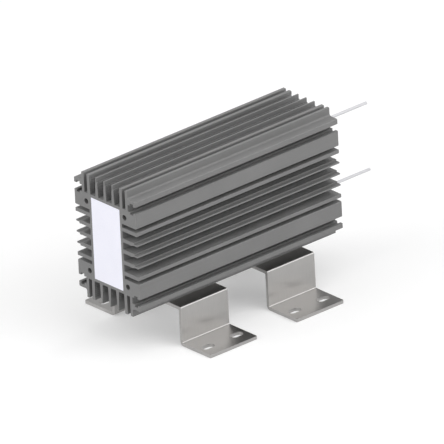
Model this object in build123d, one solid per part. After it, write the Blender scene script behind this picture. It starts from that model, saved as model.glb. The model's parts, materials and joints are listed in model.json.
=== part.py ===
from build123d import *
import os

# Aluminium housed resistor, in millimetres.
# X runs along the housing towards the lead end, Y across it to the left, Z up.
# The origin is on the floor, under the middle of the housing.

# Housing section
housing_length = 234.0
section_width = 80.0
section_height = 120.0
core_wall = 2.6
side_fin_height = 18.7
upright_fin_height = 18.5
lip_reach = 10.0
outer_wall = 3.0
screw_slot_width = 4.0

# Stepped fins between the corners, three on each face: a serrated body, a shoulder and a thin nose
stepped_fin_count = 3
upright_fin_root = 3.9
upright_fin_shoulder = 2.6
upright_nose_shift = 0.25
side_fin_root = 3.9
side_fin_shoulder = 3.6
side_nose_shift = 0.15
nose_length = 4.2
nose_width = 1.3
nose_lead_in = 3.5
serration_pitch = 1.8
serration_depth = 0.35
serration_land = 1.2
fin_sink = 1.0

# Blunt fins beside the corners
upright_blunt_root = 3.7
upright_blunt_tip = 3.4
side_blunt_root = 3.6
side_blunt_tip = 3.5
side_groove = 3.6

# Corners with their T-slots for M6 bolts, from the top of the outer wall down
wall_rise = 7.7
lip_thickness = 4.8
tslot_opening = 6.6
corner_block_height = 14.4
tslot_lip_depth = 2.8
tslot_chamber_depth = 4.3
tslot_chamber_width = 10.8
tslot_tail_width = 6.4
port_radius = 2.6
port_floor = 4.2

# Rounded edges of the section
lip_fillet = 2.0
corner_round = 0.8
tip_round = 0.4

# Boards and mica
board_thickness = 6.0
board_clearance = 0.1
mica_thickness = 1.0
lead_hole_clearance = 0.1

# Resistance grid between its two sheets
run_count = 8
run_width = 6.0
grid_thickness = 1.0
sheet_thickness = 1.0
sheet_border = 1.2
front_element_gap = 15.0
rear_element_gap = 32.0
grid_end_margin = 3.0

# Ceramic supports that hold the element
support_thickness = 8.0
support_overhang = 4.0
support_clearance = 0.1
pour_hole_radius = 4.0
pour_hole_height = 22.0

# Leads and their terminals
lead_edge_distance = 7.15
lead_free_length = 67.5
insulation_radius = 1.35
conductor_radius = 0.75
insulation_start_gap = 8.0
barrel_radius = 2.0
barrel_length = 8.0
barrel_grip = 7.0
tongue_length = 11.0
tongue_width = 4.4
tongue_thickness = 1.0
tab_end_clearance = 0.5
bare_conductor = 1.5
rivet_radius = 1.0
rivet_head_radius = 1.8
rivet_head_height = 0.8

# Folded brackets
bracket_width = 54.0
bracket_gap = 46.0
bracket_shift = 1.0
bracket_height = 37.0
sheet_metal = 3.0
bend_inside_radius = 1.0
upper_corner_radius = 1.2
web_standoff = 16.0
flange_length = 30.0
foot_length = 36.5
foot_corner_radius = 0.8
slot_width = 7.8
slot_length = 13.0
slot_end_inset = 10.5
slot_edge_inset = 15.0

# Screws and washers that hold the brackets in the narrow slots
screw_end_inset = 10.5
screw_slot_clearance = 0.05
screw_hole_clearance = 0.25
screw_length = 14.0
screw_head_radius = 4.0
screw_head_height = 3.0
screw_head_round = 0.8
screw_socket_flats = 2.5
screw_socket_depth = 1.6
washer_radius = 4.5
washer_thickness = 0.8
washer_bore_clearance = 0.15

# Places worked out from the sizes above, in the section's own plane
half_length = housing_length / 2
half_width = section_width / 2
half_height = section_height / 2
middle_z = bracket_height + half_height
core_side = half_width - side_fin_height
core_top = half_height - upright_fin_height
cavity_side = core_side - core_wall
cavity_top = core_top - core_wall
wall_outside = half_width - lip_reach
wall_inside = wall_outside - outer_wall
blunt_outside = wall_inside - screw_slot_width
screw_slot_middle = (wall_inside + blunt_outside) / 2
lip_top = half_height - wall_rise
opening_top = lip_top - lip_thickness
opening_bottom = opening_top - tslot_opening
tslot_middle = (opening_top + opening_bottom) / 2
block_bottom = opening_bottom - corner_block_height
side_blunt_outside = block_bottom - side_groove
port_middle = block_bottom + port_floor + port_radius

# Places inside the housing
board_side = cavity_side - board_clearance
board_top = cavity_top - board_clearance
filling_side = board_side - mica_thickness
filling_top = board_top - mica_thickness
filling_end = half_length - board_thickness - mica_thickness
element_front = -filling_end + front_element_gap
element_rear = filling_end - rear_element_gap
lead_height = cavity_top - lead_edge_distance
lead_tip = half_length + lead_free_length
run_pitch = 2 * lead_height / (run_count - 1)
sheet_top = lead_height + run_width / 2 + sheet_border
element_half_thickness = grid_thickness / 2 + sheet_thickness
insulation_start = filling_end - insulation_start_gap
barrel_rear = insulation_start - bare_conductor
barrel_front = barrel_rear - barrel_length
tongue_front = barrel_front - tongue_length
tab_end = barrel_front - tab_end_clearance
rivet_x = (tongue_front + tab_end) / 2

# Places of the brackets and their fixings
web_outside = wall_outside + web_standoff
web_inside = web_outside - sheet_metal
flange_inner_edge = web_outside - flange_length
foot_outer_edge = web_outside + foot_length
slot_y = foot_outer_edge - slot_edge_inset
slot_offset = bracket_width / 2 - slot_end_inset
screw_offset = bracket_width / 2 - screw_end_inset
flange_underside = bracket_height - sheet_metal
screw_radius = screw_slot_width / 2 - screw_slot_clearance
screw_hole_radius = screw_radius + screw_hole_clearance
washer_bore_radius = screw_radius + washer_bore_clearance
front_bracket_x = bracket_shift - (bracket_gap + bracket_width) / 2
rear_bracket_x = bracket_shift + (bracket_gap + bracket_width) / 2


def box_between(low, high):
    # A block between two opposite corners
    size = [high[i] - low[i] for i in range(3)]
    middle = [(high[i] + low[i]) / 2 for i in range(3)]
    return Pos(*middle) * Box(*size)


def rod_along_x(radius, start, end, y, z):
    # A round rod along the housing
    return Pos((start + end) / 2, y, z) * Rot(0, 90, 0) * Cylinder(radius, end - start)


def flank(root, tip, inward):
    # Points along a fin's flank from root to tip, with fine V-shaped serrations where inward is not zero
    if inward == 0:
        return [root, tip]
    height = tip[1] - root[1]
    first = fin_sink + serration_land
    teeth = int((height - first - serration_land) / serration_pitch)
    points = [root]
    for half_step in range(2 * teeth + 1):
        along = (first + half_step * serration_pitch / 2) / height
        across = root[0] + (tip[0] - root[0]) * along
        groove = inward * serration_depth if half_step % 2 else 0
        points.append((across + groove, root[1] + height * along))
    return points + [tip]


def vertices_at(shape, points):
    # The vertices of a flat shape that lie on the given points
    return [v for v in shape.vertices() if any((v.center() - Vector(*p)).length < 0.01 for p in points)]


def stepped_fin(root_width, shoulder_width, nose_shift, height):
    # A tapered fin along +Y of the section's plane: shoulder on its left, thin nose nearer to its right flank
    shoulder = height - nose_length
    knee = shoulder - nose_lead_in
    knee_width = root_width + (shoulder_width - root_width) * knee / shoulder
    nose_left = nose_shift - nose_width / 2
    nose_right = nose_shift + nose_width / 2
    left = flank((-root_width / 2, -fin_sink), (-shoulder_width / 2, shoulder), 1)
    left += [(nose_left, shoulder), (nose_left, height)]
    right = flank((root_width / 2, -fin_sink), (knee_width / 2, knee), -1)
    right += [(nose_right, shoulder), (nose_right, height)]
    return Polygon(*(right + left[::-1]), align=None)


def blunt_fin(root_width, tip_width, height):
    # A thicker fin: its plain outer flank lies on the plane's Y axis, and its inner flank is serrated
    inner = flank((-root_width, -fin_sink), (-tip_width, height), 1)
    outer = flank((0, -fin_sink), (0, height), 0)
    shape = Polygon(*(outer + inner[::-1]), align=None)
    return fillet(vertices_at(shape, [(0, height), (-tip_width, height)]), tip_round)


def fin_row(blunt_root_inside, root_width, fin):
    # Like fins with equal gaps at their roots, between the two blunt fins
    gap = (2 * blunt_root_inside - stepped_fin_count * root_width) / (stepped_fin_count + 1)
    pitch = gap + root_width
    middle = (stepped_fin_count - 1) / 2
    return Sketch() + [Pos((i - middle) * pitch, 0) * fin for i in range(stepped_fin_count)]


def corner():
    # One corner of the section: solid block, T-slot, lip and tall outer wall
    outline = [
        (core_side - fin_sink, block_bottom),
        (half_width, block_bottom),
        (half_width, lip_top),
        (wall_outside, lip_top),
        (wall_outside, half_height),
        (wall_inside, half_height),
        (wall_inside, core_top),
        (core_side - fin_sink, core_top),
    ]
    shape = Polygon(*outline, align=None)
    shape = fillet(vertices_at(shape, [(wall_outside, lip_top)]), lip_fillet)
    shape = fillet(vertices_at(shape, [(half_width, block_bottom), (half_width, lip_top)]), corner_round)
    shape = fillet(vertices_at(shape, [(wall_inside, half_height)]), tip_round)
    chamber_outside = half_width - tslot_lip_depth
    chamber_inside = chamber_outside - tslot_chamber_depth
    opening_depth = half_width - chamber_inside
    tail_depth = chamber_inside - wall_outside
    opening = Pos(half_width - opening_depth / 2, tslot_middle) * Rectangle(opening_depth, tslot_opening)
    chamber = Pos(chamber_outside - tslot_chamber_depth / 2, tslot_middle) * Rectangle(
        tslot_chamber_depth, tslot_chamber_width
    )
    tail = Pos(wall_outside + tail_depth / 2, tslot_middle) * Rectangle(tail_depth, tslot_tail_width)
    port = Pos(screw_slot_middle, port_middle) * Circle(port_radius)
    return shape - opening - chamber - tail - port


def housing_section():
    # The whole section in its own plane, centred; its stepped fins come alike again after half a turn
    upright_fin = stepped_fin(upright_fin_root, upright_fin_shoulder, upright_nose_shift, upright_fin_height)
    upright_row = fin_row(blunt_outside - upright_blunt_root, upright_fin_root, upright_fin)
    side_fin = stepped_fin(side_fin_root, side_fin_shoulder, side_nose_shift, side_fin_height)
    side_row = fin_row(side_blunt_outside - side_blunt_root, side_fin_root, side_fin)
    top_fins = Pos(0, core_top) * upright_row
    left_fins = Pos(core_side, 0) * Rot(0, 0, -90) * mirror(side_row, about=Plane.YZ)
    stepped_fins = Sketch() + top_fins + left_fins
    upright_blunt = Pos(blunt_outside, core_top) * blunt_fin(
        upright_blunt_root, upright_blunt_tip, upright_fin_height
    )
    side_blunt = Pos(core_side, side_blunt_outside) * mirror(
        Rot(0, 0, -90) * blunt_fin(side_blunt_root, side_blunt_tip, side_fin_height), about=Plane.XZ
    )
    quarter = Sketch() + corner() + upright_blunt + side_blunt
    upper = quarter + mirror(quarter, about=Plane.YZ)
    both = upper + mirror(upper, about=Plane.XZ)
    core = Rectangle(2 * core_side, 2 * core_top)
    cavity = Rectangle(2 * cavity_side, 2 * cavity_top)
    return both + stepped_fins + Rot(0, 0, 180) * stepped_fins + core - cavity


def extruded_housing():
    section = Plane.YZ * housing_section()
    return Pos(-half_length, 0, middle_z) * extrude(section, housing_length)


def at_both_lead_heights(make):
    # The same solid at the upper and at the lower lead, by name
    return {"upper": make(middle_z + lead_height), "lower": make(middle_z - lead_height)}


def end_plate(inside, outside, drilled):
    # A plate across the cavity, drilled for the two leads at the lead end
    plate = box_between(
        (inside, -board_side, middle_z - board_top),
        (outside, board_side, middle_z + board_top),
    )
    if drilled:
        for z in (middle_z + lead_height, middle_z - lead_height):
            plate -= rod_along_x(insulation_radius + lead_hole_clearance, inside, outside, 0, z)
    return plate


def side_liner(side):
    inside, outside = sorted((side * filling_side, side * board_side))
    return box_between(
        (-filling_end, inside, middle_z - board_top),
        (filling_end, outside, middle_z + board_top),
    )


def level_liner(side):
    low, high = sorted((side * filling_top, side * board_top))
    return box_between(
        (-filling_end, -filling_side, middle_z + low),
        (filling_end, filling_side, middle_z + high),
    )


def resistance_grid():
    # A flat meander: runs along the housing, joined in turn at the front and at the rear
    front = element_front + grid_end_margin
    rear = element_rear - grid_end_margin
    half_thickness = grid_thickness / 2
    half_run = run_width / 2
    grid = None
    for i in range(run_count):
        z = middle_z + lead_height - i * run_pitch
        run_rear = tab_end if i in (0, run_count - 1) else rear
        run = box_between((front, -half_thickness, z - half_run), (run_rear, half_thickness, z + half_run))
        grid = run if grid is None else grid + run
        if i < run_count - 1:
            turn_start = front if i % 2 == 0 else rear - run_width
            grid += box_between(
                (turn_start, -half_thickness, z - run_pitch),
                (turn_start + run_width, half_thickness, z),
            )
    for z in (middle_z + lead_height, middle_z - lead_height):
        grid -= Pos(rivet_x, 0, z) * Rot(90, 0, 0) * Cylinder(rivet_radius, 2 * grid_thickness)
    return grid


def element_sheet(side):
    inside, outside = sorted((side * grid_thickness / 2, side * element_half_thickness))
    return box_between(
        (element_front, inside, middle_z - sheet_top),
        (element_rear, outside, middle_z + sheet_top),
    )


def element_support(start):
    # A ceramic plate between the liners, with a slot for the element and four pour holes for the filling
    plate = box_between(
        (start, -filling_side, middle_z - filling_top),
        (start + support_thickness, filling_side, middle_z + filling_top),
    )
    plate -= box_between(
        (start, -element_half_thickness - support_clearance, middle_z - sheet_top - support_clearance),
        (
            start + support_thickness,
            element_half_thickness + support_clearance,
            middle_z + sheet_top + support_clearance,
        ),
    )
    pour_y = (element_half_thickness + filling_side) / 2
    for y in (-pour_y, pour_y):
        for z in (middle_z - pour_hole_height, middle_z + pour_hole_height):
            plate -= rod_along_x(pour_hole_radius, start, start + support_thickness, y, z)
    return plate


def lead_terminal(z):
    # A crimp barrel on the conductor, with a flat tongue on the grid's tab
    barrel = rod_along_x(barrel_radius, barrel_front, barrel_rear, 0, z)
    tongue = box_between(
        (tongue_front, grid_thickness / 2, z - tongue_width / 2),
        (barrel_front + tab_end_clearance, grid_thickness / 2 + tongue_thickness, z + tongue_width / 2),
    )
    terminal = barrel + tongue
    terminal -= rod_along_x(conductor_radius, barrel_rear - barrel_grip, barrel_rear, 0, z)
    tongue_y = (grid_thickness + tongue_thickness) / 2
    terminal -= Pos(rivet_x, tongue_y, z) * Rot(90, 0, 0) * Cylinder(rivet_radius, 2 * tongue_thickness)
    return terminal


def terminal_rivet(z):
    # A round rivet through the grid's tab and the tongue, with a head on each side
    near = -grid_thickness / 2
    far = grid_thickness / 2 + tongue_thickness
    shank = Pos(rivet_x, (near + far) / 2, z) * Rot(90, 0, 0) * Cylinder(rivet_radius, far - near)
    head = Rot(90, 0, 0) * Cylinder(rivet_head_radius, rivet_head_height)
    near_head = Pos(rivet_x, near - rivet_head_height / 2, z) * head
    far_head = Pos(rivet_x, far + rivet_head_height / 2, z) * head
    return shank + near_head + far_head


def lead_conductor(z):
    return rod_along_x(conductor_radius, barrel_rear - barrel_grip, lead_tip, 0, z)


def lead_insulation(z):
    sleeve = rod_along_x(insulation_radius, insulation_start, lead_tip, 0, z)
    return sleeve - rod_along_x(conductor_radius, insulation_start, lead_tip, 0, z)


def quartz_filling(pieces):
    # Fills the space between the liners and the end plates, round the pieces inside
    filling = box_between(
        (-filling_end, -filling_side, middle_z - filling_top),
        (filling_end, filling_side, middle_z + filling_top),
    )
    filling -= box_between(
        (element_front, -element_half_thickness, middle_z - sheet_top),
        (element_rear, element_half_thickness, middle_z + sheet_top),
    )
    for piece in pieces:
        filling -= piece
    return filling


def right_bracket(x):
    # A Z-shaped fold of sheet: flange under the housing, upright web and foot on the floor
    section = Polygon(
        (-flange_inner_edge, bracket_height),
        (-web_outside, bracket_height),
        (-web_outside, sheet_metal),
        (-foot_outer_edge, sheet_metal),
        (-foot_outer_edge, 0),
        (-web_inside, 0),
        (-web_inside, flange_underside),
        (-flange_inner_edge, flange_underside),
        align=None,
    )
    bends = (
        (-web_outside, bracket_height, upper_corner_radius),
        (-web_inside, flange_underside, bend_inside_radius),
        (-web_outside, sheet_metal, bend_inside_radius),
        (-web_inside, 0, bend_inside_radius + sheet_metal),
    )
    for y, z, radius in bends:
        section = fillet(section.vertices().sort_by_distance((y, z))[0], radius)
    fold = extrude(Plane.YZ * section, bracket_width)
    foot_corners = fold.edges().filter_by(Axis.Z).group_by(Axis.Y)[0]
    bracket = Pos(x - bracket_width / 2, 0, 0) * fillet(foot_corners, foot_corner_radius)
    for offset in (-slot_offset, slot_offset):
        slot = extrude(SlotOverall(slot_length, slot_width), sheet_metal)
        bracket -= Pos(x + offset, -slot_y, 0) * slot
    for offset in (-screw_offset, screw_offset):
        hole = Pos(x + offset, -screw_slot_middle, flange_underside + sheet_metal / 2)
        bracket -= hole * Cylinder(screw_hole_radius, sheet_metal)
    return bracket


def bracket_screw():
    # A pan-head screw pointing up, with the underside of its head at the origin
    head = Pos(0, 0, -screw_head_height / 2) * Cylinder(screw_head_radius, screw_head_height)
    head = fillet(head.edges().group_by(Axis.Z)[0], screw_head_round)
    socket = extrude(RegularPolygon(screw_socket_flats / 2, 6, major_radius=False), screw_socket_depth)
    shank = Pos(0, 0, screw_length / 2) * Cylinder(screw_radius, screw_length)
    return head + shank - Pos(0, 0, -screw_head_height) * socket


def bracket_washer():
    # A plain washer with its top face at the origin
    ring = Cylinder(washer_radius, washer_thickness) - Cylinder(washer_bore_radius, washer_thickness)
    return Pos(0, 0, -washer_thickness / 2) * ring


def at_screw_places(solid, z):
    # Copies of one fastener under every screw hole of the four brackets
    places = [
        Pos(bracket_x + offset, side * screw_slot_middle, z)
        for bracket_x in (front_bracket_x, rear_bracket_x)
        for offset in (-screw_offset, screw_offset)
        for side in (-1, 1)
    ]
    return Compound([place * solid for place in places])


def build_parts():
    parts = {"extruded_housing": extruded_housing()}

    parts["front_end_board"] = end_plate(-half_length, -half_length + board_thickness, drilled=False)
    parts["rear_end_board"] = end_plate(half_length - board_thickness, half_length, drilled=True)
    parts["front_mica_plate"] = end_plate(-filling_end - mica_thickness, -filling_end, drilled=False)
    parts["rear_mica_plate"] = end_plate(filling_end, filling_end + mica_thickness, drilled=True)

    for name, side in (("left", 1), ("right", -1)):
        parts[f"{name}_mica_liner"] = side_liner(side)
        parts[f"{name}_element_sheet"] = element_sheet(side)
    for name, side in (("upper", 1), ("lower", -1)):
        parts[f"{name}_mica_liner"] = level_liner(side)

    parts["resistance_grid"] = resistance_grid()
    parts["front_element_support"] = element_support(element_front + support_overhang)
    parts["rear_element_support"] = element_support(element_rear - support_overhang - support_thickness)

    rivets = at_both_lead_heights(terminal_rivet)
    terminals = at_both_lead_heights(lead_terminal)
    conductors = at_both_lead_heights(lead_conductor)
    insulations = at_both_lead_heights(lead_insulation)
    for level in ("upper", "lower"):
        parts[f"{level}_lead_terminal"] = terminals[level]
        parts[f"{level}_lead_conductor"] = conductors[level]
        parts[f"{level}_lead_insulation"] = insulations[level]
    parts["terminal_rivets"] = Compound(list(rivets.values()))

    buried = [parts["resistance_grid"], parts["front_element_support"], parts["rear_element_support"]]
    for group in (rivets, terminals, conductors, insulations):
        buried += group.values()
    parts["quartz_filling"] = quartz_filling(buried)

    for name, x in (("front", front_bracket_x), ("rear", rear_bracket_x)):
        bracket = right_bracket(x)
        parts[f"{name}_right_bracket"] = bracket
        parts[f"{name}_left_bracket"] = mirror(bracket, about=Plane.XZ)
    parts["bracket_washers"] = at_screw_places(bracket_washer(), flange_underside)
    parts["bracket_screws"] = at_screw_places(bracket_screw(), flange_underside - washer_thickness)
    return parts


def main():
    os.makedirs("parts", exist_ok=True)
    for name, solid in build_parts().items():
        export_step(solid, f"parts/{name}.step")


main()
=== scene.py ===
import json
import math

import bmesh
import bpy
from mathutils import Matrix, Vector


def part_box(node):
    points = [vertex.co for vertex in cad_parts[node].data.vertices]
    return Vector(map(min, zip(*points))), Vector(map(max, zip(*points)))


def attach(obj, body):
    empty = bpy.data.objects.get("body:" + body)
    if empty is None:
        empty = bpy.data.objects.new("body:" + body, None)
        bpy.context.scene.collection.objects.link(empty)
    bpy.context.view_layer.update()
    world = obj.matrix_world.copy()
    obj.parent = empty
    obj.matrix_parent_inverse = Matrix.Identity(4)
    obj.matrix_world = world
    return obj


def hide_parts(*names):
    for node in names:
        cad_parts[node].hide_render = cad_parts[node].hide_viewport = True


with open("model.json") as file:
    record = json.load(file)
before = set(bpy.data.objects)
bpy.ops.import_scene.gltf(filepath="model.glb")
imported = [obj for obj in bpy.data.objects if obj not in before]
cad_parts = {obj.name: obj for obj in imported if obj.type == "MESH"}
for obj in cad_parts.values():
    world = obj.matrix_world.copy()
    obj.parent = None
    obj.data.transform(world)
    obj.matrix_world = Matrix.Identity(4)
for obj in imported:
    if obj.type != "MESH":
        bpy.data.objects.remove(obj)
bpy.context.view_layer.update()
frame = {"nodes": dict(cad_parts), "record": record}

# Aluminium housed resistor: finishes, lead wires, studio and camera, in metres.
# X runs along the housing towards the lead end, Y across it to the left, Z up.

MM = 0.001

# Places read from the frame
housing_low, housing_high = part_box("extruded_housing")
housing_centre = (housing_low + housing_high) / 2
board_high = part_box("rear_end_board")[1]

# Camera: the photograph's own projection, fitted to measured points
PHOTO_SIDE_PIXELS = 444
PHOTO_PIXELS_PER_METRE = 1154.0
HOUSING_CENTRE_PIXEL = (208.366, 202.175)
CAMERA_AZIMUTH = math.radians(-40.112)
CAMERA_ELEVATION = math.radians(25.041)
CAMERA_ROLL = math.radians(-2.930)
CAMERA_DISTANCE = 1.5
CAMERA_REACH = 4 * CAMERA_DISTANCE

# Studio
FLOOR_RADIUS = 4.0
FLOOR_DEPTH = 0.2 * MM
FLOOR_SEGMENTS = 64
FLOOR_COLOUR = (0.68, 0.68, 0.68, 1)
FLOOR_CAMERA_GLOW = 0.33
ROOM_COLOUR = (1, 1, 1, 1)
# How strongly the room lights the object, where 1 is how bright it looks
ROOM_LIGHT = 0.50
LAMP_DISTANCE = 3.4
# Each soft lamp's azimuth from +X and elevation in degrees, its width and height in metres,
# and its brightness, where 1 looks white
SOFT_LAMPS = {
    "right_lamp": (300, 27, 3.2, 2.4, 2.05),
    "left_lamp": (162, 33, 3.0, 2.8, 2.1),
    "top_lamp": (268, 66, 2.6, 2.6, 1.2),
    "line_lamp": (10, 53, 1.0, 1.0, 3.2),
}
# A grey curtain on the side away from the camera, which only reflections show. Its azimuths
# from +X and its elevations are in degrees, and a tone of 1 would be as bright as the room
CURTAIN_AZIMUTHS = (-30, 130)
CURTAIN_ELEVATIONS = (1, 42)
CURTAIN_DISTANCE = 1.9
CURTAIN_STEPS = 24
CURTAIN_TONE = 0.60

# Lead wires
SLEEVE_RADIUS = 1.35 * MM
SLEEVE_BORE_RADIUS = 0.78 * MM
SLEEVE_EDGE = 0.12 * MM
SLEEVE_EDGE_BEND = 0.3 * SLEEVE_EDGE
SLEEVE_SEGMENTS = 40
LEAD_STARTS_INSIDE = 1.5 * MM
STRAND_RADIUS = 0.25 * MM
STRAND_RECESS = 0.15 * MM
OUTER_STRANDS = 6
STRAND_LAY = 18 * MM
STRAND_SEGMENTS = 10
STRAND_STEP = 1.5 * MM
SHARP_EDGE = math.radians(50)

# Finishes. A grey is its linear value and its warmth, a relief its depth and strength,
# and every other pair the two ends of a range
HOUSING_METALLIC = 0.06
HOUSING_SPECULAR = 0.3
HOUSING_GREY = (0.203, 0.004)
# The edge grey lightens outer edges: partly wear, partly a painted highlight
HOUSING_EDGE_GREY = (0.26, 0.0)
HOUSING_TONE = (0.90, 1.10)
HOUSING_CLOUDS = (0.95, 1.05)
HOUSING_CLOUD_FINENESS = 24.0
HOUSING_ROUGHNESS = (0.45, 0.55)
HOUSING_RELIEF = (0.02 * MM, 0.5)
HOUSING_EDGE_WIDTH = 0.3 * MM
HOUSING_EDGE_GAIN = 1.2
DIE_LINE_STRETCH = (5.0, 1700.0, 1700.0)
# The arcs of the saw on the two ends: the shift that puts their centre outside the section
SAW_SHIFT = (0.0, 0.19, -0.21)
SAW_FINENESS = 320.0
# A face is one of the two ends where the X part of its direction is above this
END_FACE_LIMIT = 0.9

STEEL_ANISOTROPY = 0.85
STEEL_GRAIN_TURN = 0.25
STEEL_GREY = (0.41, 0.02)
# The edge grey lightens outer edges: partly wear, partly a painted highlight
STEEL_EDGE_GREY = (0.49, 0.02)
STEEL_TONE = (0.93, 1.08)
STEEL_CLOUDS = (0.96, 1.04)
STEEL_CLOUD_FINENESS = 45.0
STEEL_ROUGHNESS = (0.30, 0.37)
STEEL_RELIEF = (0.012 * MM, 0.35)
STEEL_EDGE_WIDTH = 0.3 * MM
STEEL_EDGE_GAIN = 1.5
BRUSH_LINE_STRETCH = (4500.0, 70.0, 70.0)

PLAIN_METAL_FINENESS = 3000.0
PLAIN_METAL_TONE = (0.88, 1.10)
PLAIN_METAL_ROUGHNESS_SWING = 0.06
PLAIN_METAL_EDGE_WIDTH = 0.15 * MM
PLAIN_METAL_EDGE_GAIN = 1.5
# The edge lift lightens outer edges: partly wear, partly a painted highlight
PLAIN_METAL_EDGE_LIFT = 1.3

PRESSED_SPECULAR = 0.35
PRESSED_CLOUD_FINENESS = 35.0
PRESSED_ROUGHNESS_SWING = 0.05
PRESSED_RELIEF_STRENGTH = 0.4
PRESSED_GRAIN_DEPTH = 0.03 * MM
SLEEVE_GRAIN_DEPTH = 0.01 * MM

# Ranges of a noise: the whole of it, and its middle, where most of its values lie
WHOLE_RANGE = (0.0, 1.0)
MIDDLE_HALF = (0.25, 0.75)
MIDDLE_PART = (0.3, 0.7)

# The numbers of the Mix node's sockets, which share their names
MIX_FACTOR = 0
MIX_VALUES = (2, 3)
MIX_COLOURS = (6, 7)
MIX_COLOUR_OUT = 2


# Small helpers for the scene and for node trees

def into_scene(item):
    bpy.context.scene.collection.objects.link(item)


def add_node(tree, kind, inputs=None, **settings):
    # A node with its settings; an input is a plain value or the socket that feeds it
    made = tree.nodes.new(kind)
    for name, value in settings.items():
        setattr(made, name, value)
    for name, value in (inputs or {}).items():
        if isinstance(value, bpy.types.NodeSocket):
            tree.links.new(value, made.inputs[name])
        else:
            made.inputs[name].default_value = value
    return made


def maths(tree, operation, first, second=0.0, clamp=False):
    node = add_node(tree, "ShaderNodeMath", {0: first, 1: second}, operation=operation, use_clamp=clamp)
    return node.outputs[0]


def mixed_colour(tree, factor, first, second, blend="MIX"):
    inputs = {MIX_FACTOR: factor, MIX_COLOURS[0]: first, MIX_COLOURS[1]: second}
    node = add_node(tree, "ShaderNodeMix", inputs, data_type="RGBA", blend_type=blend)
    return node.outputs[MIX_COLOUR_OUT]


def spread_to(tree, value, onto, taken_from=WHOLE_RANGE):
    # Maps one range of a value onto another, and holds it there
    inputs = {
        "Value": value,
        "From Min": taken_from[0],
        "From Max": taken_from[1],
        "To Min": onto[0],
        "To Max": onto[1],
    }
    return add_node(tree, "ShaderNodeMapRange", inputs).outputs["Result"]


# Effects that several materials share, each a node group built once

def effect(name, inputs, output):
    # A new group with named input sockets and one output, and its input and output nodes
    group = bpy.data.node_groups.new(name, "ShaderNodeTree")
    for label, kind in inputs.items():
        group.interface.new_socket(label, in_out="INPUT", socket_type=kind)
    group.interface.new_socket(output, in_out="OUTPUT", socket_type="NodeSocketFloat")
    return group, add_node(group, "NodeGroupInput").outputs, add_node(group, "NodeGroupOutput").inputs


def make_drawn_lines():
    # Fine lines, as a die or a belt leaves them: a value round 0.5 that varies fast where the
    # stretch is large
    group, given, result = effect(
        "drawn_lines", {"Place": "NodeSocketVector", "Stretch": "NodeSocketVector"}, "Lines"
    )
    stretched = add_node(
        group, "ShaderNodeVectorMath", {0: given["Place"], 1: given["Stretch"]}, operation="MULTIPLY"
    )
    lines = add_node(
        group,
        "ShaderNodeTexNoise",
        {"Vector": stretched.outputs[0], "Scale": 1.0, "Detail": 3.0, "Roughness": 0.65},
    )
    group.links.new(lines.outputs["Fac"], result["Lines"])
    return group


def make_even_noise(name, output, detail):
    # A value round 0.5 that varies the same way along each axis
    group, given, result = effect(
        name, {"Place": "NodeSocketVector", "Fineness": "NodeSocketFloat"}, output
    )
    noise = add_node(
        group, "ShaderNodeTexNoise", {"Vector": given["Place"], "Scale": given["Fineness"], "Detail": detail}
    )
    group.links.new(noise.outputs["Fac"], result[output])
    return group


def make_worn_and_highlit_edges():
    # 1 along outer edges, and 0 on flat faces and in inner corners: how little metal lies
    #     behind the surface. The materials lighten their colour with it, partly as wear and partly as a
    #     painted highlight along the edges
    group, given, result = effect(
        "worn_and_highlit_edges", {"Width": "NodeSocketFloat", "Gain": "NodeSocketFloat"}, "Edge"
    )
    behind = add_node(
        group,
        "ShaderNodeAmbientOcclusion",
        {"Distance": given["Width"]},
        samples=6,
        inside=True,
        only_local=True,
    )
    open_share = maths(group, "SUBTRACT", 1.0, behind.outputs["AO"])
    group.links.new(maths(group, "MULTIPLY", open_share, given["Gain"], clamp=True), result["Edge"])
    return group


# The edge mask lightens edges as wear and as a painted highlight
drawn_lines = make_drawn_lines()
worn_and_highlit_edges = make_worn_and_highlit_edges()
# Slow, cloudy change of tone, as handling and washing leave on a surface
soft_patches = make_even_noise("soft_patches", "Patches", 2.5)
# Fine grain of a pressed or sintered material
fine_speckle = make_even_noise("fine_speckle", "Speckle", 4.0)


def placed(tree, group, **inputs):
    # One effect in a material's tree, with its own values
    return add_node(tree, "ShaderNodeGroup", inputs, node_tree=group).outputs[0]


class Finish:
    # A material, its tree and shader, and the place on the object that its textures follow
    def __init__(self, name, metallic=0.0, specular=0.5):
        self.material = bpy.data.materials.new(name)
        self.material.use_nodes = True
        self.tree = self.material.node_tree
        self.shader = next(node for node in self.tree.nodes if node.type == "BSDF_PRINCIPLED")
        self.shader.inputs["Metallic"].default_value = metallic
        self.shader.inputs["Specular IOR Level"].default_value = specular
        self.place = add_node(self.tree, "ShaderNodeTexCoord").outputs["Object"]

    def colour(self, socket):
        self.tree.links.new(socket, self.shader.inputs["Base Color"])

    def roughness(self, socket):
        self.tree.links.new(socket, self.shader.inputs["Roughness"])

    def relief(self, height, depth, strength):
        inputs = {"Height": height, "Distance": depth, "Strength": strength}
        bump = add_node(self.tree, "ShaderNodeBump", inputs)
        self.tree.links.new(bump.outputs[0], self.shader.inputs["Normal"])


def grey(value, warmth=0.0):
    # A grey as a linear colour, a little warmer or cooler
    return (value * (1 + warmth), value, value * (1 - warmth), 1)


def around(value, swing):
    return (value - swing, value + swing)


def on_end_faces(tree):
    # 1 on the sawn ends, which look along X, and 0 on the long sides
    normal = add_node(tree, "ShaderNodeNewGeometry").outputs["True Normal"]
    parts = add_node(tree, "ShaderNodeSeparateXYZ", {0: normal})
    return maths(tree, "GREATER_THAN", maths(tree, "ABSOLUTE", parts.outputs["X"]), END_FACE_LIMIT)


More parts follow.
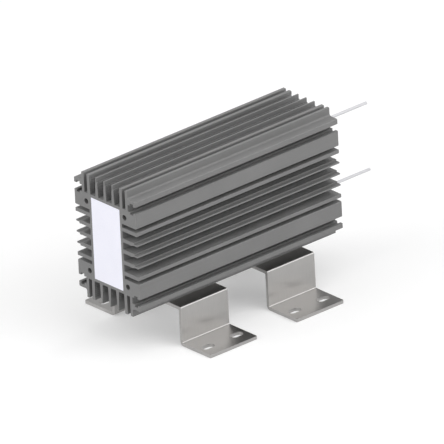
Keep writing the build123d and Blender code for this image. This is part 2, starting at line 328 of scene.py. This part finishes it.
def make_housing_aluminium():
    # Extruded aluminium: die lines along its length, and arcs of the saw on its two ends
    finish = Finish("housing_aluminium", metallic=HOUSING_METALLIC, specular=HOUSING_SPECULAR)
    tree = finish.tree
    ends = on_end_faces(tree)
    lines = placed(tree, drawn_lines, Place=finish.place, Stretch=DIE_LINE_STRETCH)
    patches = placed(tree, soft_patches, Place=finish.place, Fineness=HOUSING_CLOUD_FINENESS)
    edges = placed(tree, worn_and_highlit_edges, Width=HOUSING_EDGE_WIDTH, Gain=HOUSING_EDGE_GAIN)
    saw_place = add_node(tree, "ShaderNodeMapping", {"Vector": finish.place, "Location": SAW_SHIFT})
    saw = add_node(
        tree,
        "ShaderNodeTexWave",
        {
            "Vector": saw_place.outputs[0],
            "Scale": SAW_FINENESS,
            "Distortion": 1.5,
            "Detail": 2.0,
            "Detail Scale": 1.5,
        },
        wave_type="RINGS",
        rings_direction="X",
    ).outputs["Fac"]
    mix = add_node(tree, "ShaderNodeMix", {MIX_FACTOR: ends, MIX_VALUES[0]: lines, MIX_VALUES[1]: saw})
    marks = mix.outputs[0]
    tone = spread_to(tree, marks, HOUSING_TONE)
    clouds = spread_to(tree, patches, HOUSING_CLOUDS, MIDDLE_PART)
    tone = maths(tree, "MULTIPLY", tone, clouds)
    base = mixed_colour(tree, 1.0, grey(*HOUSING_GREY), tone, "MULTIPLY")
    # Outer edges are lightened towards the edge grey: partly wear, partly a painted highlight along the
    # edges
    finish.colour(mixed_colour(tree, edges, base, grey(*HOUSING_EDGE_GREY)))
    finish.roughness(spread_to(tree, marks, HOUSING_ROUGHNESS))
    finish.relief(marks, *HOUSING_RELIEF)
    return finish.material


def make_bracket_steel():
    # Brushed stainless sheet: its grain runs round the folds, so reflections spread along X
    finish = Finish("bracket_steel", metallic=1.0)
    tree = finish.tree
    round_folds = add_node(tree, "ShaderNodeTangent", direction_type="RADIAL", axis="X")
    tree.links.new(round_folds.outputs[0], finish.shader.inputs["Tangent"])
    finish.shader.inputs["Anisotropic"].default_value = STEEL_ANISOTROPY
    finish.shader.inputs["Anisotropic Rotation"].default_value = STEEL_GRAIN_TURN
    lines = placed(tree, drawn_lines, Place=finish.place, Stretch=BRUSH_LINE_STRETCH)
    patches = placed(tree, soft_patches, Place=finish.place, Fineness=STEEL_CLOUD_FINENESS)
    edges = placed(tree, worn_and_highlit_edges, Width=STEEL_EDGE_WIDTH, Gain=STEEL_EDGE_GAIN)
    tone = spread_to(tree, lines, STEEL_TONE, MIDDLE_HALF)
    tone = maths(tree, "MULTIPLY", tone, spread_to(tree, patches, STEEL_CLOUDS))
    base = mixed_colour(tree, 1.0, grey(*STEEL_GREY), tone, "MULTIPLY")
    # Outer edges are lightened towards the edge grey: partly wear, partly a painted highlight along the
    # edges
    finish.colour(mixed_colour(tree, edges, base, grey(*STEEL_EDGE_GREY)))
    finish.roughness(spread_to(tree, lines, STEEL_ROUGHNESS, MIDDLE_HALF))
    finish.relief(lines, *STEEL_RELIEF)
    return finish.material


def make_plain_metal(name, colour, roughness):
    # Turned or rolled metal of a small part, with brighter edges
    finish = Finish(name, metallic=1.0)
    tree = finish.tree
    speckle = placed(tree, fine_speckle, Place=finish.place, Fineness=PLAIN_METAL_FINENESS)
    edges = placed(tree, worn_and_highlit_edges, Width=PLAIN_METAL_EDGE_WIDTH, Gain=PLAIN_METAL_EDGE_GAIN)
    base = mixed_colour(tree, 1.0, colour, spread_to(tree, speckle, PLAIN_METAL_TONE), "MULTIPLY")
    # Outer edges are lightened by the edge lift: partly wear, partly a painted highlight along the edges
    edge_colour = (*(min(1.0, PLAIN_METAL_EDGE_LIFT * part) for part in colour[:3]), 1)
    finish.colour(mixed_colour(tree, edges, base, edge_colour))
    finish.roughness(spread_to(tree, speckle, around(roughness, PLAIN_METAL_ROUGHNESS_SWING)))
    return finish.material


def make_pressed(name, colour, roughness, fineness, contrast, depth):
    # A pressed or sintered body with fine grain: board, mica, ceramic, sand, rubber
    finish = Finish(name, specular=PRESSED_SPECULAR)
    tree = finish.tree
    speckle = placed(tree, fine_speckle, Place=finish.place, Fineness=fineness)
    patches = placed(tree, soft_patches, Place=finish.place, Fineness=PRESSED_CLOUD_FINENESS)
    grain = spread_to(tree, speckle, around(1, contrast), MIDDLE_PART)
    clouds = spread_to(tree, patches, around(1, contrast / 2), MIDDLE_PART)
    tone = maths(tree, "MULTIPLY", grain, clouds)
    finish.colour(mixed_colour(tree, 1.0, colour, tone, "MULTIPLY"))
    finish.roughness(spread_to(tree, speckle, around(roughness, PRESSED_ROUGHNESS_SWING)))
    finish.relief(speckle, depth, PRESSED_RELIEF_STRENGTH)
    return finish.material


# Linear colour and roughness
PLAIN_METALS = {
    "fixing_steel": (grey(0.50), 0.30),
    "rivet_steel": (grey(0.50), 0.38),
    "resistance_alloy": (grey(0.42, 0.03), 0.42),
    "terminal_brass": ((0.70, 0.52, 0.24, 1), 0.32),
    "conductor_copper": ((0.72, 0.38, 0.22, 1), 0.30),
}
# Linear colour, roughness, and the fineness, contrast and depth of the grain
PRESSED_BODIES = {
    "end_board": ((0.91, 0.91, 1.0, 1), 0.62, 1400.0, 0.025, PRESSED_GRAIN_DEPTH),
    "mica": ((0.50, 0.42, 0.28, 1), 0.40, 900.0, 0.20, PRESSED_GRAIN_DEPTH),
    "support_ceramic": ((0.74, 0.68, 0.58, 1), 0.70, 1800.0, 0.06, PRESSED_GRAIN_DEPTH),
    "quartz_sand": ((0.60, 0.50, 0.36, 1), 0.85, 1500.0, 0.25, PRESSED_GRAIN_DEPTH),
    "lead_insulation": ((0.65, 0.65, 0.67, 1), 0.48, 1100.0, 0.02, SLEEVE_GRAIN_DEPTH),
}


def dress_nodes():
    # Each node of the frame gets the finish of the record's slot that it belongs to
    finishes = {
        "housing_aluminium": make_housing_aluminium(),
        "bracket_steel": make_bracket_steel(),
    }
    for name, values in PLAIN_METALS.items():
        finishes[name] = make_plain_metal(name, *values)
    for name, values in PRESSED_BODIES.items():
        finishes[name] = make_pressed(name, *values)
    for entry in frame["record"]["subparts"]:
        mesh = frame["nodes"][entry["node"]].data
        mesh.materials.clear()
        mesh.materials.append(finishes[entry["material_slot"]])
    return finishes


# Lead wires: a rubber sleeve with a cut end, and the strands in it

def new_piece(name, mesh, material):
    piece = bpy.data.objects.new(name, mesh)
    into_scene(piece)
    mesh.materials.append(material)
    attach(piece, "root")
    return piece


def ring(tools, x, y, z, radius, segments):
    # A ring of vertices round a line along X
    turns = [2 * math.pi * i / segments for i in range(segments)]
    return [tools.verts.new((x, y + radius * math.cos(t), z + radius * math.sin(t))) for t in turns]


def join_rings(tools, first, second):
    count = len(first)
    for i in range(count):
        tools.faces.new((first[i], first[(i + 1) % count], second[(i + 1) % count], second[i]))


def finished_mesh(tools, name):
    # The mesh of the tools, with smooth shading broken at sharp edges
    bmesh.ops.recalc_face_normals(tools, faces=tools.faces)
    mesh = bpy.data.meshes.new(name)
    tools.to_mesh(mesh)
    tools.free()
    mesh.shade_smooth()
    mesh.set_sharp_from_angle(angle=SHARP_EDGE)
    return mesh


def sleeve_mesh(name, start, end, height):
    # A tube with a bore, closed by a ring at the near end and by a cut with soft edges at the
    # far one
    tools = bmesh.new()
    profile = [
        (start, SLEEVE_BORE_RADIUS),
        (start, SLEEVE_RADIUS),
        (end - SLEEVE_EDGE, SLEEVE_RADIUS),
        (end - SLEEVE_EDGE_BEND, SLEEVE_RADIUS - SLEEVE_EDGE_BEND),
        (end, SLEEVE_RADIUS - SLEEVE_EDGE),
        (end, SLEEVE_BORE_RADIUS),
    ]
    rings = [ring(tools, x, 0, height, radius, SLEEVE_SEGMENTS) for x, radius in profile]
    for first, second in zip(rings, rings[1:] + rings[:1]):
        join_rings(tools, first, second)
    return finished_mesh(tools, name)


def strands_mesh(name, start, end, height):
    # One straight strand, and the others laid round it in a long helix
    tools = bmesh.new()
    steps = math.ceil((end - start) / STRAND_STEP)
    laid = [(2 * STRAND_RADIUS, 2 * math.pi * i / OUTER_STRANDS) for i in range(OUTER_STRANDS)]
    for distance, first_turn in [(0.0, 0.0)] + laid:
        rings = []
        for step in range(steps + 1):
            x = start + (end - start) * step / steps
            turn = first_turn + 2 * math.pi * (x - start) / STRAND_LAY
            y = distance * math.cos(turn)
            z = height + distance * math.sin(turn)
            rings.append(ring(tools, x, y, z, STRAND_RADIUS, STRAND_SEGMENTS))
        for first, second in zip(rings, rings[1:]):
            join_rings(tools, first, second)
        tools.faces.new(rings[0])
        tools.faces.new(rings[-1])
    return finished_mesh(tools, name)


def make_lead(level, finishes):
    # The free lead at one height: straight, from the rear board to its cut end
    low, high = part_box(f"{level}_lead_insulation")
    height = (low.z + high.z) / 2
    exit_point = Vector((board_high.x, 0, height))
    tip = Vector((high.x, 0, height))
    start = exit_point - Vector((LEAD_STARTS_INSIDE, 0, 0))
    sleeve = new_piece(
        f"{level}_lead_sleeve",
        sleeve_mesh(f"{level}_lead_sleeve", start.x, tip.x, height),
        finishes["lead_insulation"],
    )
    strands = new_piece(
        f"{level}_lead_strands",
        strands_mesh(f"{level}_lead_strands", start.x, tip.x - STRAND_RECESS, height),
        finishes["conductor_copper"],
    )
    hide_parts(f"{level}_lead_insulation")
    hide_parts(f"{level}_lead_conductor")


# Studio and camera

def bare_material(name):
    # A material with an empty tree
    material = bpy.data.materials.new(name)
    material.use_nodes = True
    material.node_tree.nodes.clear()
    return material


def studio_piece(name, tools, material):
    mesh = bpy.data.meshes.new(name)
    tools.to_mesh(mesh)
    tools.free()
    mesh.materials.append(material)
    piece = bpy.data.objects.new(name, mesh)
    into_scene(piece)
    return piece


def seen_by(tree, *rays):
    # 1 for what these kinds of ray see, and 0 for the light that falls on the object
    path = add_node(tree, "ShaderNodeLightPath")
    seen = path.outputs[rays[0]]
    for ray in rays[1:]:
        seen = maths(tree, "MAXIMUM", seen, path.outputs[ray])
    return seen


def make_floor():
    # A pale disc that looks brighter to the camera and in reflections than its light makes it
    material = bare_material("studio_floor")
    tree = material.node_tree
    seen = seen_by(tree, "Is Camera Ray", "Is Glossy Ray")
    paint = add_node(tree, "ShaderNodeBsdfDiffuse", {"Color": FLOOR_COLOUR})
    strength = maths(tree, "MULTIPLY", seen, FLOOR_CAMERA_GLOW)
    glow = add_node(tree, "ShaderNodeEmission", {"Strength": strength})
    both = add_node(tree, "ShaderNodeAddShader", {0: paint.outputs[0], 1: glow.outputs[0]})
    add_node(tree, "ShaderNodeOutputMaterial", {"Surface": both.outputs[0]})
    tools = bmesh.new()
    bmesh.ops.create_circle(tools, cap_ends=True, segments=FLOOR_SEGMENTS, radius=FLOOR_RADIUS)
    floor = studio_piece("floor", tools, material)
    floor.location.z = -FLOOR_DEPTH


def make_room_light():
    # White all round; it lights the object less strongly than the camera and reflections see it
    world = bpy.data.worlds.new("studio")
    world.use_nodes = True
    tree = world.node_tree
    tree.nodes.clear()
    seen = seen_by(tree, "Is Camera Ray", "Is Glossy Ray", "Is Transmission Ray")
    strength = spread_to(tree, seen, (ROOM_LIGHT, 1.0))
    room = add_node(tree, "ShaderNodeBackground", {"Color": ROOM_COLOUR, "Strength": strength})
    add_node(tree, "ShaderNodeOutputWorld", {"Surface": room.outputs[0]})
    bpy.context.scene.world = world


def toward(azimuth, elevation):
    # The direction of an azimuth from +X and an elevation, both in degrees
    turn = math.radians(azimuth)
    rise = math.radians(elevation)
    return Vector((math.cos(turn) * math.cos(rise), math.sin(turn) * math.cos(rise), math.sin(rise)))


def make_curtain():
    # A curved screen; it casts no shadow and the camera doesn't see it
    material = bare_material("studio_curtain")
    tree = material.node_tree
    tone = add_node(tree, "ShaderNodeEmission", {"Strength": CURTAIN_TONE})
    add_node(tree, "ShaderNodeOutputMaterial", {"Surface": tone.outputs[0]})
    tools = bmesh.new()
    first, last = CURTAIN_AZIMUTHS
    azimuths = [first + (last - first) * i / CURTAIN_STEPS for i in range(CURTAIN_STEPS + 1)]
    rows = []
    for elevation in CURTAIN_ELEVATIONS:
        places = [housing_centre + CURTAIN_DISTANCE * toward(azimuth, elevation) for azimuth in azimuths]
        rows.append([tools.verts.new(place) for place in places])
    for i in range(CURTAIN_STEPS):
        tools.faces.new((rows[0][i], rows[0][i + 1], rows[1][i + 1], rows[1][i]))
    curtain = studio_piece("curtain", tools, material)
    for kind in ("camera", "diffuse", "transmission", "volume_scatter", "shadow"):
        setattr(curtain, f"visible_{kind}", False)


def make_soft_lamp(name, azimuth, elevation, width, height, brightness):
    # A large rectangle of light that faces the housing
    direction = toward(azimuth, elevation)
    lamp = bpy.data.lights.new(name, "AREA")
    lamp.shape = "RECTANGLE"
    lamp.size = width
    lamp.size_y = height
    lamp.energy = math.pi * brightness * width * height
    holder = bpy.data.objects.new(name, lamp)
    holder.location = housing_centre + direction * LAMP_DISTANCE
    holder.rotation_mode = "QUATERNION"
    holder.rotation_quaternion = (-direction).to_track_quat("-Z", "Y")
    into_scene(holder)


def make_camera():
    # Orthographic, rolled as the photograph is, with the housing's centre on its pixel
    flat_share = math.cos(CAMERA_ELEVATION)
    backward = Vector((
        math.sin(CAMERA_AZIMUTH) * flat_share,
        -math.cos(CAMERA_AZIMUTH) * flat_share,
        math.sin(CAMERA_ELEVATION),
    ))
    level_right = Vector((math.cos(CAMERA_AZIMUTH), math.sin(CAMERA_AZIMUTH), 0))
    level_up = backward.cross(level_right)
    right = level_right * math.cos(CAMERA_ROLL) + level_up * math.sin(CAMERA_ROLL)
    up = level_up * math.cos(CAMERA_ROLL) - level_right * math.sin(CAMERA_ROLL)
    middle = PHOTO_SIDE_PIXELS / 2
    aim = housing_centre + right * ((middle - HOUSING_CENTRE_PIXEL[0]) / PHOTO_PIXELS_PER_METRE)
    aim -= up * ((middle - HOUSING_CENTRE_PIXEL[1]) / PHOTO_PIXELS_PER_METRE)
    data = bpy.data.cameras.new("camera")
    data.type = "ORTHO"
    data.ortho_scale = PHOTO_SIDE_PIXELS / PHOTO_PIXELS_PER_METRE
    data.clip_end = CAMERA_REACH
    camera = bpy.data.objects.new("camera", data)
    turn = Matrix((right, up, backward)).transposed().to_4x4()
    camera.matrix_world = Matrix.Translation(aim + backward * CAMERA_DISTANCE) @ turn
    into_scene(camera)
    bpy.context.scene.camera = camera


make_camera()
make_room_light()
for name, settings in SOFT_LAMPS.items():
    make_soft_lamp(name, *settings)
make_floor()
make_curtain()
finishes = dress_nodes()
for level in ("upper", "lower"):
    make_lead(level, finishes)
bpy.context.scene.view_settings.view_transform = "Standard"
